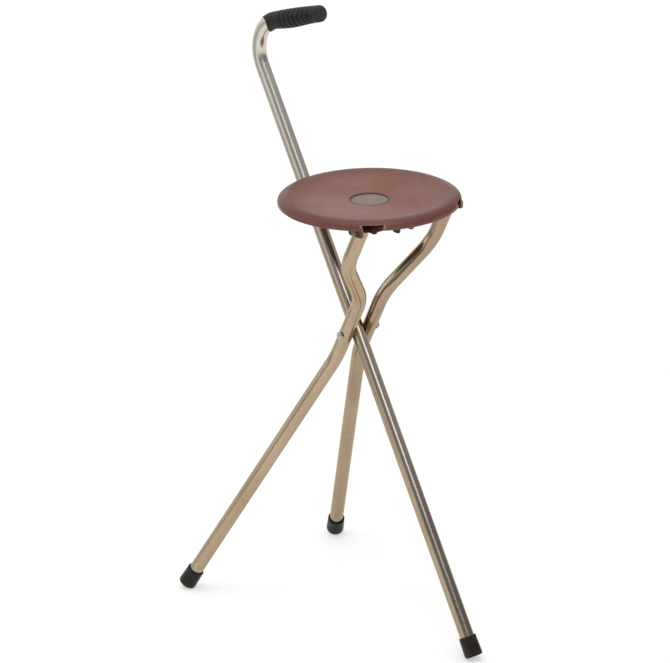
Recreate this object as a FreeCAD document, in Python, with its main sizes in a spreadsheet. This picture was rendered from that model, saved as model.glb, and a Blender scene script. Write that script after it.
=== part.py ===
# Walking stick seat: a cane with a curved hand grip, two legs that fold about one bolt,
# and a round moulded seat that hinges on the tops of the legs.
# Lengths are in millimetres and angles in degrees. The frame has +Z up, the mirror plane
# of the object at Y = 0, and the stick's foot towards +X. The origin is on the floor,
# under the middle of the object's box.
import FreeCAD, Part
import math
import os
import re

import Sketcher
from FreeCAD import Placement, Rotation, Vector

DRIVING_SIZES = {
    # Tubes and how they stand
    "TubeDia": 18.0,
    "TubeWall": 1.5,
    "StickLean": 29.4,
    "LegLean": 28.2,
    "LegSplay": 15.8,
    "PivotHeight": 378.4,
    # Stick, measured along it upwards from the pivot bolt
    "StickBendStart": 350.6,
    "StickBendRadius": 45.0,
    "StickBendAngle": 103.7,
    "HandleLength": 89.5,
    # Legs, measured along their middle part from the pivot bolt
    "LowerBendBelow": 40.0,
    "FirstBendAbove": 62.0,
    "SecondBendAbove": 133.5,
    "LegSpread": 69.7,
    "LowerBendRadius": 90.0,
    "UpperBendRadius": 58.0,
    "HingeAbove": 193.6,
    "TubeEndAboveHinge": 4.5,
    # Pivot bolt with its spacers, washers and nut
    "BoltDia": 6.0,
    "BoltHeadDia": 10.6,
    "BoltHeadHeight": 3.2,
    "BoltTip": 0.8,
    "SpacerThickness": 0.8,
    "SpacerDia": 14.0,
    "WasherThickness": 0.8,
    "WasherDia": 11.0,
    "NutFlats": 9.0,
    "NutHeight": 3.4,
    "StackGap": 0.05,
    "RunningGap": 0.05,
    "ShaftEdge": 0.5,
    # Rubber feet
    "FootRadius": 11.4,
    "FootTopRadius": 11.0,
    "FootHeight": 26.0,
    "FootFloor": 6.0,
    "FootEdge": 2.6,
    "FootMouthEdge": 0.8,
    "FootWasherThickness": 1.5,
    # Hand grip
    "GripStartTurn": 80.0,
    "GripSleeveRadius": 10.0,
    "GripMiddleRadius": 11.2,
    "GripEndRadius": 10.6,
    "GripEndWall": 4.5,
    "RingCount": 7,
    "RingPitch": 9.0,
    "RingWidth": 4.4,
    "RingDepth": 0.7,
    "FirstRing": 22.0,
    # Seat shell, measured from its axis and from the plane of its lower rim
    "SeatRadius": 112.5,
    "RimHeight": 10.2,
    "CrownRadius": 96.0,
    "DishDepth": 7.2,
    "PanelThickness": 3.0,
    "SkirtWall": 2.6,
    "RimEdge": 1.1,
    "RimTurn": 35.0,
    "HingeForward": 65.3,
    "HingeBelowRim": 4.2,
    "NotchWidth": 21.0,
    "NotchHeight": 7.0,
    "RibCount": 12,
    "RibThickness": 2.0,
    "RibRise": 0.6,
    "RibInner": 34.0,
    # Hinge ears under the seat
    "EarThickness": 3.3,
    "EarGap": 0.3,
    "EarBehind": 10.0,
    "EarAhead": 14.0,
    "EarReach": 28.9,
    "EarBelow": 4.6,
    "EarCorner": 3.0,
    "EarRootBack": 7.25,
    "EarRootFront": 8.15,
    "HingePinDia": 5.0,
    "PinHeadDia": 9.0,
    "PinHeadHeight": 1.8,
    "PinClipDia": 10.0,
    "PinClipThickness": 1.0,
    "PinTip": 1.2,
    # Stick clip under the front of the seat
    "ClipAxisBelowHinge": 10.1,
    "ClipJawThickness": 3.2,
    "ClipGap": 0.3,
    "ClipLength": 10.0,
    "ClipAhead": -3.8,
    "ClipReach": 7.5,
    # Rear hooks and the pin that they sit on
    "RestPinAbove": 176.0,
    "RestPinDia": 6.0,
    "HookInset": 1.0,
    "HookThickness": 3.5,
    "HookWall": 4.0,
    "HookMouth": 6.5,
    "HookLean": 36.0,
    "HookGap": 0.3,
    "HookRootDepth": 26.0,
    "RestPinTip": 1.4,
    # Badge in the middle of the seat
    "BadgeRadius": 24.9,
    "BadgeRingWidth": 2.4,
    "BadgeRecess": 1.2,
    "BadgeGap": 0.1,
    # Plugs in the leg tubes
    "PlugDome": 1.2,
    "PlugDepth": 1.6,
}

document = FreeCAD.newDocument("WalkingStickSeat")
sheet = document.addObject("Spreadsheet::Sheet", "Sizes")
for row, (name, value) in enumerate(DRIVING_SIZES.items(), start=1):
    sheet.set(f"A{row}", name)
    sheet.set(f"B{row}", str(value))
    sheet.setAlias(f"B{row}", name)
document.recompute()


def formula(text):
    """An expression in which each size's name points at its cell in the sheet."""
    return re.sub(r"\b[A-Z]\w*", lambda word: "Sizes." + word.group(0), str(text))


def size(text):
    """The number that an expression of sizes comes to."""
    return float(sheet.evalExpression(formula(text)))


# Lengths that follow from the driving sizes, as expressions
TUBE_RADIUS = "TubeDia / 2"
BORE_RADIUS = "(TubeDia / 2 - TubeWall)"
LEG_OFFSET = "(TubeDia + SpacerThickness + 2 * StackGap)"
TUBE_END = "(FootFloor + FootWasherThickness)"
STICK_FOOT_RISE = "((FootRadius - FootEdge) * sin(StickLean) + FootEdge * (1 - cos(StickLean)))"
STICK_BELOW = f"((PivotHeight - {STICK_FOOT_RISE}) / cos(StickLean))"
LEG_UPRIGHT = "(cos(LegLean) * cos(LegSplay))"
LEG_FOOT_RISE = (f"((FootRadius - FootEdge) * sqrt(1 - {LEG_UPRIGHT} ^ 2)"
                 f" + FootEdge * (1 - {LEG_UPRIGHT}))")
LEG_BELOW = f"((PivotHeight - LowerBendBelow * cos(LegLean) - {LEG_FOOT_RISE}) / {LEG_UPRIGHT})"
EAR_INNER = f"({TUBE_RADIUS} + EarGap)"
CLIP_INNER = f"({TUBE_RADIUS} + ClipGap)"
HOOK_INNER = f"({TUBE_RADIUS} + HookInset)"
SEAT_X = "(HingeAbove * sin(LegLean) - HingeForward)"
SEAT_Z = "(HingeAbove * cos(LegLean) + HingeBelowRim)"
REST_X = f"(-RestPinAbove * sin(StickLean) - {SEAT_X})"
REST_Z = f"(RestPinAbove * cos(StickLean) - {SEAT_Z})"
BADGE_FLOOR = "(RimHeight - DishDepth - BadgeRecess)"


def origin_shift():
    """How far the pivot bolt stands from the middle of the object's box, along X."""
    ring = size("FootRadius - FootEdge")
    edge = size("FootEdge")
    lean = math.radians(size("StickLean"))
    front = size(STICK_BELOW) * math.sin(lean)
    front += ring * math.cos(lean) + edge * (1 - math.sin(lean))
    forward = size("sin(LegLean) * cos(LegSplay)")
    back = -size("LowerBendBelow * sin(LegLean)") - size(LEG_BELOW) * forward
    back += edge * (forward - 1) - ring * math.sqrt(1 - forward ** 2)
    return -(front + back) / 2


PIVOT = Vector(origin_shift(), 0, size("PivotHeight"))
STICK_UP = Vector(-size("sin(StickLean)"), 0, size("cos(StickLean)"))
STICK_FRONT = Vector(size("cos(StickLean)"), 0, size("sin(StickLean)"))
LEG_UP = Vector(size("sin(LegLean)"), 0, size("cos(LegLean)"))
SEAT_BASE = PIVOT + Vector(size(SEAT_X), 0, size(SEAT_Z))
HINGE = PIVOT + LEG_UP * size("HingeAbove")
SIDES = {"left": -1, "right": 1}


def frame_at(origin, z_axis, x_axis=None):
    """A placement with its Z axis, and its X axis where one is given, along the given directions."""
    if x_axis is None:
        return Placement(origin, Rotation(Vector(0, 0, 1), z_axis))
    return Placement(origin, Rotation(x_axis, z_axis.cross(x_axis), z_axis, "ZXY"))


def new_body(label, placement):
    """An empty body with its name and its place in the object."""
    body = document.addObject("PartDesign::Body", label)
    body.Label = label
    body.Placement = placement
    return body


def base_feature(body, role):
    """One of the body's own origin planes or axes."""
    return next(item for item in body.Origin.OriginFeatures if item.Role == role)


def new_sketch(body, role, name, lift="0"):
    """A sketch on one of the body's origin planes, lifted along that plane's normal."""
    sketch = body.newObject("Sketcher::SketchObject", name)
    sketch.AttachmentSupport = (base_feature(body, role), [""])
    sketch.MapMode = "FlatFace"
    sketch.setExpression("AttachmentOffset.Base.z", formula(lift))
    return sketch


def hold_value(sketch, kind, value, *where):
    """A constraint whose value comes from an expression."""
    index = sketch.addConstraint(Sketcher.Constraint(kind, *where, size(value)))
    sketch.setExpression(f"Constraints[{index}]", formula(value))


def hold_point(sketch, line, end, across, up):
    """Pins one end of a line to a place measured from the sketch's origin."""
    origin = (-1, 1)
    for kind, value, axis in (("DistanceX", across, -2), ("DistanceY", up, -1)):
        if abs(size(value)) < 1e-9:
            sketch.addConstraint(Sketcher.Constraint("PointOnObject", line, end, axis))
        else:
            hold_value(sketch, kind, value, *origin, line, end)


def flat(point):
    """A vector in the sketch's plane from a pair of expressions."""
    return Vector(size(point[0]), size(point[1]), 0)


def draw_circle(sketch, across, up, radius):
    """A circle with its centre and radius held by expressions."""
    centre = flat((across, up))
    circle = sketch.addGeometry(Part.Circle(centre, Vector(0, 0, 1), size(radius)))
    hold_point(sketch, circle, 3, across, up)
    hold_value(sketch, "Radius", radius, circle)


def ends_in_order(sketch, line, start):
    """The numbers of a line's two ends, the one at the start point first."""
    near = (sketch.getPoint(line, 1) - start).Length < (sketch.getPoint(line, 2) - start).Length
    return (1, 2) if near else (2, 1)


def draw_outline(sketch, corners):
    """A closed outline. A corner is (x, y), or (x, y, mid_x, mid_y) at the end of an arc."""
    points = [flat(corner) for corner in corners]
    pieces = []
    for corner, start, end in zip(corners, points[-1:] + points[:-1], points):
        if len(corner) == 4:
            middle = flat(corner[2:])
            piece = sketch.addGeometry(Part.Arc(start, middle, end))
            mark = sketch.addGeometry(Part.Point(middle), True)
            hold_point(sketch, mark, 1, *corner[2:])
            sketch.addConstraint(Sketcher.Constraint("PointOnObject", mark, 1, piece))
        else:
            piece = sketch.addGeometry(Part.LineSegment(start, end))
        pieces.append((piece, *ends_in_order(sketch, piece, start)))
    for corner, (piece, _, end), (after, start, _) in zip(corners, pieces, pieces[1:] + pieces[:1]):
        sketch.addConstraint(Sketcher.Constraint("Coincident", piece, end, after, start))
        hold_point(sketch, piece, end, *corner[:2])


def draw_bent_line(sketch, corners, radii):
    """A line through the corners, rounded at each inner corner by an arc tangent to both sides."""
    points = [flat(corner) for corner in corners]
    steps = list(zip(points, points[1:]))
    ways = [(end - start).normalize() for start, end in steps]
    turns = [way.getAngle(after) for way, after in zip(ways, ways[1:])]
    trims = [0] + [size(r) * math.tan(turn / 2) for r, turn in zip(radii, turns)] + [0]
    guides = [sketch.addGeometry(Part.LineSegment(*step), True) for step in steps]
    hold_point(sketch, guides[0], 1, *corners[0])
    for guide, corner in zip(guides, corners[1:]):
        hold_point(sketch, guide, 2, *corner)
    for guide, after in zip(guides, guides[1:]):
        sketch.addConstraint(Sketcher.Constraint("Coincident", guide, 2, after, 1))
    runs = [(start + way * trims[i], end - way * trims[i + 1])
            for i, ((start, end), way) in enumerate(zip(steps, ways))]
    lines = [sketch.addGeometry(Part.LineSegment(*run)) for run in runs]
    sketch.addConstraint(Sketcher.Constraint("Coincident", lines[0], 1, guides[0], 1))
    sketch.addConstraint(Sketcher.Constraint("Coincident", lines[-1], 2, guides[-1], 2))
    for i, radius in enumerate(radii):
        corner = points[i + 1]
        inward = (ways[i + 1] - ways[i]).normalize()
        reach = size(radius) * (1 / math.cos(turns[i] / 2) - 1)
        arc = sketch.addGeometry(Part.Arc(runs[i][1], corner + inward * reach, runs[i + 1][0]))
        first, last = ends_in_order(sketch, arc, runs[i][1])
        sketch.addConstraint(Sketcher.Constraint("PointOnObject", lines[i], 2, guides[i]))
        sketch.addConstraint(Sketcher.Constraint("PointOnObject", lines[i + 1], 1, guides[i + 1]))
        sketch.addConstraint(Sketcher.Constraint("Tangent", lines[i], 2, arc, first))
        sketch.addConstraint(Sketcher.Constraint("Tangent", arc, last, lines[i + 1], 1))
        hold_value(sketch, "Radius", radius, arc)


def sweep(body, name, profile, path):
    """The body of a profile carried along a path."""
    document.recompute()
    pipe = body.newObject("PartDesign::AdditivePipe", name)
    pipe.Profile = profile
    pipe.Spine = (path, [f"Edge{i + 1}" for i in range(len(path.Shape.Edges))])
    document.recompute()
    return pipe


def cap_radius(rim, rise):
    """The radius of the ball that a cap with this rim and this rise is cut from."""
    return f"((({rim}) ^ 2 + ({rise}) ^ 2) / (2 * ({rise})))"


def domed(rim, base, rise):
    """The end of an outline on the axis, reached by an arc whose centre is on the axis."""
    ball = cap_radius(rim, rise)
    half = f"(asin(({rim}) / {ball}) / 2)"
    return ("0", f"{base} + ({rise})", f"{ball} * sin({half})", f"{base} + ({rise}) - {ball} * (1 - cos({half}))")


def revolve(body, name, corners, kind="PartDesign::Revolution"):
    """A solid, or with a groove a cut, turned about the body's Z axis."""
    sketch = new_sketch(body, "XZ_Plane", name + "Outline")
    draw_outline(sketch, corners)
    turned = body.newObject(kind, name)
    turned.Profile = sketch
    turned.ReferenceAxis = (sketch, ["V_Axis"])
    turned.Angle = 360
    document.recompute()
    return turned


def pad(body, name, sketch, length, both_ways=False, reverse=False):
    """Material raised from a sketch."""
    raised = body.newObject("PartDesign::Pad", name)
    raised.Profile = sketch
    raised.setExpression("Length", formula(length))
    raised.SideType = "Symmetric" if both_ways else "One side"
    raised.Reversed = reverse
    document.recompute()
    return raised


def cut(body, name, sketch, length=None, reverse=False):
    """A cut from a sketch: of a length one way, or through everything both ways."""
    before = body.Shape.Volume
    pocket = body.newObject("PartDesign::Pocket", name)
    pocket.Profile = sketch
    if length is None:
        pocket.Type = "ThroughAll"
        pocket.SideType = "Symmetric"
    else:
        pocket.setExpression("Length", formula(length))
        pocket.Reversed = reverse
    document.recompute()
    if body.Shape.Volume >= before:
        raise RuntimeError(f"{body.Label}: {name} cuts nothing")
    return pocket


def cross_hole(body, name, role, across, up, radius):
    """A round hole through the whole body, square to one of its planes."""
    sketch = new_sketch(body, role, name + "Circle")
    draw_circle(sketch, across, up, radius)
    return cut(body, name, sketch)


def turned_part(label, placement, corners):
    """A body that is one turned shape."""
    body = new_body(label, placement)
    revolve(body, "Turned", corners)
    return body


def ring_part(label, placement, bore, radius, thickness):
    """A flat washer, spacer or clip, standing on its placement's XY plane."""
    return turned_part(label, placement, [
        (bore, "0"),
        (radius, "0"),
        (radius, thickness),
        (bore, thickness),
    ])


def stick_tube():
    """The cane's tube: straight from its foot, then bent forward to carry the hand grip."""
    body = new_body("stick_tube", frame_at(PIVOT, STICK_UP, STICK_FRONT))
    profile = new_sketch(body, "XY_Plane", "Section", f"{TUBE_END} - {STICK_BELOW}")
    draw_circle(profile, "0", "0", TUBE_RADIUS)
    draw_circle(profile, "0", "0", BORE_RADIUS)
    path = new_sketch(body, "XZ_Plane", "Path")
    corner = "(StickBendStart + StickBendRadius * tan(StickBendAngle / 2))"
    reach = "(HandleLength + StickBendRadius * tan(StickBendAngle / 2))"
    draw_bent_line(path, [
        ("0", f"{TUBE_END} - {STICK_BELOW}"),
        ("0", corner),
        (f"{reach} * sin(StickBendAngle)", f"{corner} + {reach} * cos(StickBendAngle)"),
    ], ["StickBendRadius"])
    sweep(body, "Tube", profile, path)
    cross_hole(body, "BoltHole", "XZ_Plane", "0", "0", "BoltDia / 2 + RunningGap")
    cross_hole(body, "RestPinHole", "XZ_Plane", "0", "RestPinAbove", "RestPinDia / 2")
    return body


def hand_grip():
    """The rubber grip: a sleeve round the end of the bend, then a swelling ringed handle."""
    turn = math.radians(size("StickBendAngle"))
    bend = size("StickBendRadius")
    along = STICK_UP * math.cos(turn) + STICK_FRONT * math.sin(turn)
    inward = STICK_FRONT * math.cos(turn) - STICK_UP * math.sin(turn)
    start = PIVOT + STICK_UP * size("StickBendStart") + STICK_FRONT * bend - inward * bend
    body = new_body("hand_grip", frame_at(start, along, inward))
    profile = new_sketch(body, "XY_Plane", "SleeveSection")
    draw_circle(profile, "0", "0", "GripSleeveRadius")
    draw_circle(profile, "0", "0", TUBE_RADIUS)
    path = new_sketch(body, "XZ_Plane", "SleevePath")
    wrap = "(StickBendAngle - GripStartTurn)"
    centre = Vector(bend, 0, 0)
    points = [centre - Vector(math.cos(a), math.sin(a), 0) * bend
              for a in (0, math.radians(size(wrap)) / 2, math.radians(size(wrap)))]
    arc = path.addGeometry(Part.Arc(*points))
    first, last = ends_in_order(path, arc, points[0])
    path.addConstraint(Sketcher.Constraint("Coincident", arc, first, -1, 1))
    path.addConstraint(Sketcher.Constraint("PointOnObject", arc, 3, -1))
    hold_value(path, "Radius", "StickBendRadius", arc)
    hold_value(path, "DistanceY", f"-StickBendRadius * sin({wrap})", -1, 1, arc, last)
    sweep(body, "Sleeve", profile, path)
    length = "(HandleLength + GripEndWall)"
    revolve(body, "Handle", [
        (TUBE_RADIUS, "0"),
        ("GripSleeveRadius", "0"),
        ("GripMiddleRadius", f"{length} * 0.5", "(GripSleeveRadius + GripMiddleRadius * 3) / 4",
         f"{length} * 0.22"),
        ("GripEndRadius", f"{length} - GripEndRadius * 0.55", "(GripMiddleRadius * 3 + GripEndRadius) / 4",
         f"{length} * 0.72"),
        domed("GripEndRadius", f"({length} - GripEndRadius * 0.55)", "GripEndRadius * 0.55"),
        ("0", "HandleLength"),
        (TUBE_RADIUS, "HandleLength"),
    ])
    groove = revolve(body, "Ring", [
        ("GripMiddleRadius - RingDepth", "FirstRing - RingWidth * 0.2"),
        ("GripMiddleRadius + RingDepth", "FirstRing - RingWidth / 2"),
        ("GripMiddleRadius + RingDepth", "FirstRing + RingWidth / 2"),
        ("GripMiddleRadius - RingDepth", "FirstRing + RingWidth * 0.2"),
    ], "PartDesign::Groove")
    rings = body.newObject("PartDesign::LinearPattern", "Rings")
    rings.Originals = [groove]
    rings.Direction = (base_feature(body, "Z_Axis"), [""])
    rings.setExpression("Length", formula("RingPitch * (RingCount - 1)"))
    rings.setExpression("Occurrences", formula("RingCount"))
    body.Tip = rings
    document.recompute()
    return body


def leg_tube(side):
    """A leg: straight and splayed below the bolt, bent outwards above it to the seat's hinge."""
    outward = Vector(0, SIDES[side], 0)
    body = new_body(side + "_leg_tube", frame_at(PIVOT, LEG_UP, outward))
    top = "(HingeAbove + TubeEndAboveHinge)"
    profile = new_sketch(body, "XY_Plane", "Section", top)
    draw_circle(profile, "LegSpread", "0", TUBE_RADIUS)
    draw_circle(profile, "LegSpread", "0", BORE_RADIUS)
    path = new_sketch(body, "XZ_Plane", "Path")
    lower = f"({LEG_BELOW} - {TUBE_END})"
    draw_bent_line(path, [
        ("LegSpread", top),
        ("LegSpread", "SecondBendAbove"),
        (LEG_OFFSET, "FirstBendAbove"),
        (LEG_OFFSET, "-LowerBendBelow"),
        (f"{LEG_OFFSET} + {lower} * sin(LegSplay)", f"-LowerBendBelow - {lower} * cos(LegSplay)"),
    ], ["UpperBendRadius", "UpperBendRadius", "LowerBendRadius"])
    sweep(body, "Tube", profile, path)
    cross_hole(body, "BoltHole", "YZ_Plane", "0", "0", "BoltDia / 2 + RunningGap")
    cross_hole(body, "HingeHole", "YZ_Plane", "0", "HingeAbove", "HingePinDia / 2 + RunningGap")
    return body


def leg_plug(side):
    """The plastic plug that closes the top of a leg tube, with a low dome."""
    place = HINGE + LEG_UP * size("TubeEndAboveHinge") + Vector(0, SIDES[side] * size("LegSpread"), 0)
    return turned_part(side + "_leg_plug", frame_at(place, LEG_UP), [
        ("0", "-PlugDepth"),
        (f"{BORE_RADIUS} - RunningGap", "-PlugDepth"),
        (f"{BORE_RADIUS} - RunningGap", "0"),
        (f"{TUBE_RADIUS} - RunningGap", "0"),
        domed(f"({TUBE_RADIUS} - RunningGap)", "0", "PlugDome"),
    ])


def foot_frame(name):
    """The middle of a rubber foot's tread, with Z up along its tube."""
    if name == "stick":
        return frame_at(PIVOT - STICK_UP * size(STICK_BELOW), STICK_UP)
    side = SIDES[name]
    up = Vector(size("sin(LegLean) * cos(LegSplay)"), -side * size("sin(LegSplay)"), size(LEG_UPRIGHT))
    bend = PIVOT - LEG_UP * size("LowerBendBelow") + Vector(0, side * size(LEG_OFFSET), 0)
    return frame_at(bend - up * size(LEG_BELOW), up)


def rubber_foot(label, place):
    """A rubber ferrule: tapered outside, with a rounded tread and a blind bore for the tube."""
    round_part = "FootEdge * (1 - cos(45))"
    mouth_part = "FootMouthEdge * (1 - cos(45))"
    return turned_part(label, place, [
        ("0", "0"),
        ("FootRadius - FootEdge", "0"),
        ("FootRadius", "FootEdge", f"FootRadius - {round_part}", round_part),
        ("FootRadius", "FootFloor"),
        ("FootTopRadius", "FootFloor * 1.6"),
        ("FootTopRadius", "FootHeight - FootMouthEdge"),
        ("FootTopRadius - FootMouthEdge", "FootHeight", f"FootTopRadius - {mouth_part}",
         f"FootHeight - {mouth_part}"),
        (f"{TUBE_RADIUS} + RunningGap", "FootHeight"),
        (f"{TUBE_RADIUS} + RunningGap", "FootFloor"),
        ("0", "FootFloor"),
    ])


def foot_washer(label, place):
    """The steel disc that keeps the tube's end from cutting through the rubber."""
    seat = Placement(place.Base + place.Rotation.multVec(Vector(0, 0, size("FootFloor"))), place.Rotation)
    return turned_part(label, seat, [
        ("0", "0"),
        (f"{TUBE_RADIUS} - RunningGap", "0"),
        (f"{TUBE_RADIUS} - RunningGap", "FootWasherThickness"),
        ("0", "FootWasherThickness"),
    ])


def across_axis(point, side, distance):
    """A frame on the line through a point along Y, with Z pointing outwards on that side."""
    outward = Vector(0, side, 0)
    return frame_at(point + outward * size(distance), outward)


def pivot_parts():
    """The bolt through the three tubes, with the spacers between them, two washers and a nut."""
    outer = f"({LEG_OFFSET} + {TUBE_RADIUS} + StackGap)"
    seat = f"({outer} + WasherThickness)"
    shank = f"({seat} * 2 + NutHeight + BoltTip)"
    parts = [turned_part("pivot_bolt", across_axis(PIVOT, -1, seat), [
        ("0", f"-{shank}"),
        ("BoltDia / 2 - ShaftEdge", f"-{shank}"),
        ("BoltDia / 2", f"-{shank} + ShaftEdge"),
        ("BoltDia / 2", "0"),
        ("BoltHeadDia / 2", "0"),
        ("BoltHeadDia / 2", "BoltHeadHeight * 0.25"),
        domed("BoltHeadDia / 2", "BoltHeadHeight * 0.25", "BoltHeadHeight * 0.75"),
    ])]
    bore = "BoltDia / 2 + RunningGap"
    for side, sign in SIDES.items():
        parts.append(ring_part(side + "_spacer", across_axis(PIVOT, sign, f"{TUBE_RADIUS} + StackGap"),
                               bore, "SpacerDia / 2", "SpacerThickness"))
        parts.append(ring_part(side + "_pivot_washer", across_axis(PIVOT, sign, outer),
                               bore, "WasherDia / 2", "WasherThickness"))
    nut = new_body("pivot_nut", across_axis(PIVOT, 1, seat))
    section = new_sketch(nut, "XY_Plane", "Section")
    corner = "NutFlats / 2 / cos(30)"
    draw_outline(section, [(f"{corner} * cos({turn})", f"{corner} * sin({turn})")
                           for turn in range(15, 360, 60)])
    draw_circle(section, "0", "0", "BoltDia / 2")
    pad(nut, "Hexagon", section, "NutHeight")
    return parts + [nut]


def rest_pin_parts():
    """The cross pin that carries the back of the seat, with a clip on each end."""
    point = PIVOT + STICK_UP * size("RestPinAbove")
    clip = f"({HOOK_INNER} + HookThickness + HookGap)"
    half = f"({clip} + PinClipThickness + RestPinTip)"
    parts = [turned_part("rest_pin", across_axis(point, 1, f"-{half}"), [
        ("0", "0"),
        ("RestPinDia / 2 - ShaftEdge", "0"),
        ("RestPinDia / 2", "ShaftEdge"),
        ("RestPinDia / 2", f"2 * {half} - ShaftEdge"),
        ("RestPinDia / 2 - ShaftEdge", f"2 * {half}"),
        ("0", f"2 * {half}"),
    ])]
    for side, sign in SIDES.items():
        parts.append(ring_part(side + "_rest_pin_clip", across_axis(point, sign, clip),
                               "RestPinDia / 2", "PinClipDia / 2", "PinClipThickness"))
    return parts


def hinge_parts(side):
    """The headed pin through the seat's ears and the leg's top, with its clip on the inside."""
    sign = SIDES[side]
    outer = f"(LegSpread + {EAR_INNER} + EarThickness + StackGap)"
    inner = f"(LegSpread - {EAR_INNER} - EarThickness - StackGap)"
    shank = f"({outer} - {inner} + PinClipThickness + PinTip)"
    pin = turned_part(side + "_hinge_pin", across_axis(HINGE, sign, outer), [
        ("0", f"-{shank}"),
        ("HingePinDia / 2 - ShaftEdge", f"-{shank}"),
        ("HingePinDia / 2", f"-{shank} + ShaftEdge"),
        ("HingePinDia / 2", "0"),
        ("PinHeadDia / 2", "0"),
        ("PinHeadDia / 2", "PinHeadHeight * 0.3"),
        domed("PinHeadDia / 2", "PinHeadHeight * 0.3", "PinHeadHeight * 0.7"),
    ])
    clip = ring_part(side + "_hinge_clip", across_axis(HINGE, sign, f"{inner} - PinClipThickness"),
                     "HingePinDia / 2", "PinClipDia / 2", "PinClipThickness")
    return [pin, clip]


def dish(radius, depth="0"):
    """The height of the seat's top at a radius, or of a surface below it."""
    ball = cap_radius("CrownRadius", "DishDepth")
    return f"(RimHeight - DishDepth + {ball} - sqrt({ball} ^ 2 - ({radius}) ^ 2) - ({depth}))"


def seat_section():
    """Half of the seat's section: a dished panel, a rolled rim and a short skirt.

    The roll is two arcs without a crease: a broad one from the dish's slope to RimTurn, then a
    tight one that ends upright."""
    ball = cap_radius("CrownRadius", "DishDepth")
    halfway = f"({ball} * sin(asin(CrownRadius / {ball}) / 2))"
    under = "PanelThickness"
    slope = f"(asin(CrownRadius / {ball}) / 1 deg)"
    wide = "(SeatRadius - CrownRadius)"
    tall = "(RimHeight * 0.7)"
    across = f"(sin({slope}) + sin(RimTurn))"
    rest = "(1 - sin(RimTurn))"
    lift = f"(cos({slope}) - cos(RimTurn))"
    share = f"({across} * cos(RimTurn) - {rest} * {lift})"
    broad = f"(({wide} * cos(RimTurn) - {tall} * {rest}) / {share})"
    tight = f"(({across} * {tall} - {lift} * {wide}) / {share})"

    def on_broad(turn):
        return (f"CrownRadius + {broad} * (sin({slope}) + sin({turn}))",
                f"RimHeight - {broad} * (cos({slope}) - cos({turn}))")

    def on_tight(turn):
        return (f"SeatRadius - {tight} * (1 - sin({turn}))", f"RimHeight * 0.3 + {tight} * cos({turn})")

    return [
        ("0", dish("0", under)),
        ("CrownRadius", dish("CrownRadius", under), halfway, dish(halfway, under)),
        ("SeatRadius - SkirtWall", "RimHeight * 0.28", "SeatRadius - SkirtWall - 3.4", "RimHeight * 0.56"),
        ("SeatRadius - SkirtWall", "0"),
        ("SeatRadius - RimEdge", "0"),
        ("SeatRadius", "RimEdge"),
        ("SeatRadius", "RimHeight * 0.3"),
        on_tight("RimTurn") + on_tight("(RimTurn + 90) / 2"),
        ("CrownRadius", "RimHeight") + on_broad(f"(RimTurn - {slope}) / 2"),
        ("0", dish("0"), halfway, dish(halfway)),
    ]


def mirrored_pads(body, name, corners, starts, thickness):
    """Plates square to Y with one outline, repeated on the other side of the mirror plane."""
    raised = []
    for number, start in enumerate(starts):
        sketch = new_sketch(body, "XZ_Plane", f"{name}Outline{number}", start)
        draw_outline(sketch, corners)
        raised.append(pad(body, f"{name}{number}", sketch, thickness))
    mirror = body.newObject("PartDesign::Mirrored", name + "Mirror")
    mirror.Originals = raised
    mirror.MirrorPlane = (base_feature(body, "XZ_Plane"), [""])
    body.Tip = mirror
    document.recompute()


def seat_ears(body):
    """Two ears each side, with the leg's top and the hinge pin between them.

    The inner one runs on to the rim as a web, and closes the notch's side."""
    low = "(-HingeBelowRim - EarBelow)"
    back = "(HingeForward - EarBehind)"
    front = "(HingeForward + EarAhead)"
    reach = "(HingeForward + EarReach)"
    inset = "EarCorner * (1 - cos(45))"
    plate = [
        (back, "EarRootBack"),
        (back, f"{low} + EarCorner"),
        (f"{back} + EarCorner", low, f"{back} + {inset}", f"{low} + {inset}"),
        (f"{front} - EarCorner", low),
        (front, f"{low} + EarCorner", f"{front} - {inset}", f"{low} + {inset}"),
    ]
    root = ("HingeForward + EarThickness * 2", "EarRootFront")
    mirrored_pads(body, "OuterEar", plate + [(front, "-0.5"), root],
                  [f"LegSpread + {EAR_INNER}"], "EarThickness")
    mirrored_pads(body, "InnerEar", plate + [
        (reach, "RibRise"),
        (reach, "RimHeight * 0.27"),
        (f"{reach} - SkirtWall * 1.6", "RimHeight * 0.65"),
        (f"{reach} - SkirtWall * 4.6", "RimHeight * 0.8"),
        root,
    ], [f"LegSpread - {EAR_INNER} - EarThickness"], "EarThickness")
    cross_hole(body, "HingeBore", "XZ_Plane", "HingeForward", "-HingeBelowRim",
               "HingePinDia / 2 + RunningGap")


def seat_clip(body):
    """Two jaws that spring over the stick when the seat is folded against it."""
    middle = "(HingeForward + ClipAhead)"
    tip = "(-HingeBelowRim - ClipAxisBelowHinge - ClipReach)"
    root = dish(middle, "PanelThickness / 2")
    mirrored_pads(body, "Jaw", [
        (f"{middle} - ClipLength / 2 - 2", root),
        (f"{middle} - ClipLength / 2", f"{tip} + 1"),
        (f"{middle} - ClipLength / 2 + 1", tip),
        (f"{middle} + ClipLength / 2 - 1", tip),
        (f"{middle} + ClipLength / 2", f"{tip} + 1"),
        (f"{middle} + ClipLength / 2 + 2", root),
    ], [CLIP_INNER], "ClipJawThickness")


def hook_point(across, down):
    """A place measured from the rest pin: across the hook's slot, and down towards its mouth."""
    return (f"{REST_X} + ({across}) * cos(HookLean) + ({down}) * sin(HookLean)",
            f"{REST_Z} + ({across}) * sin(HookLean) - ({down}) * cos(HookLean)")


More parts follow.
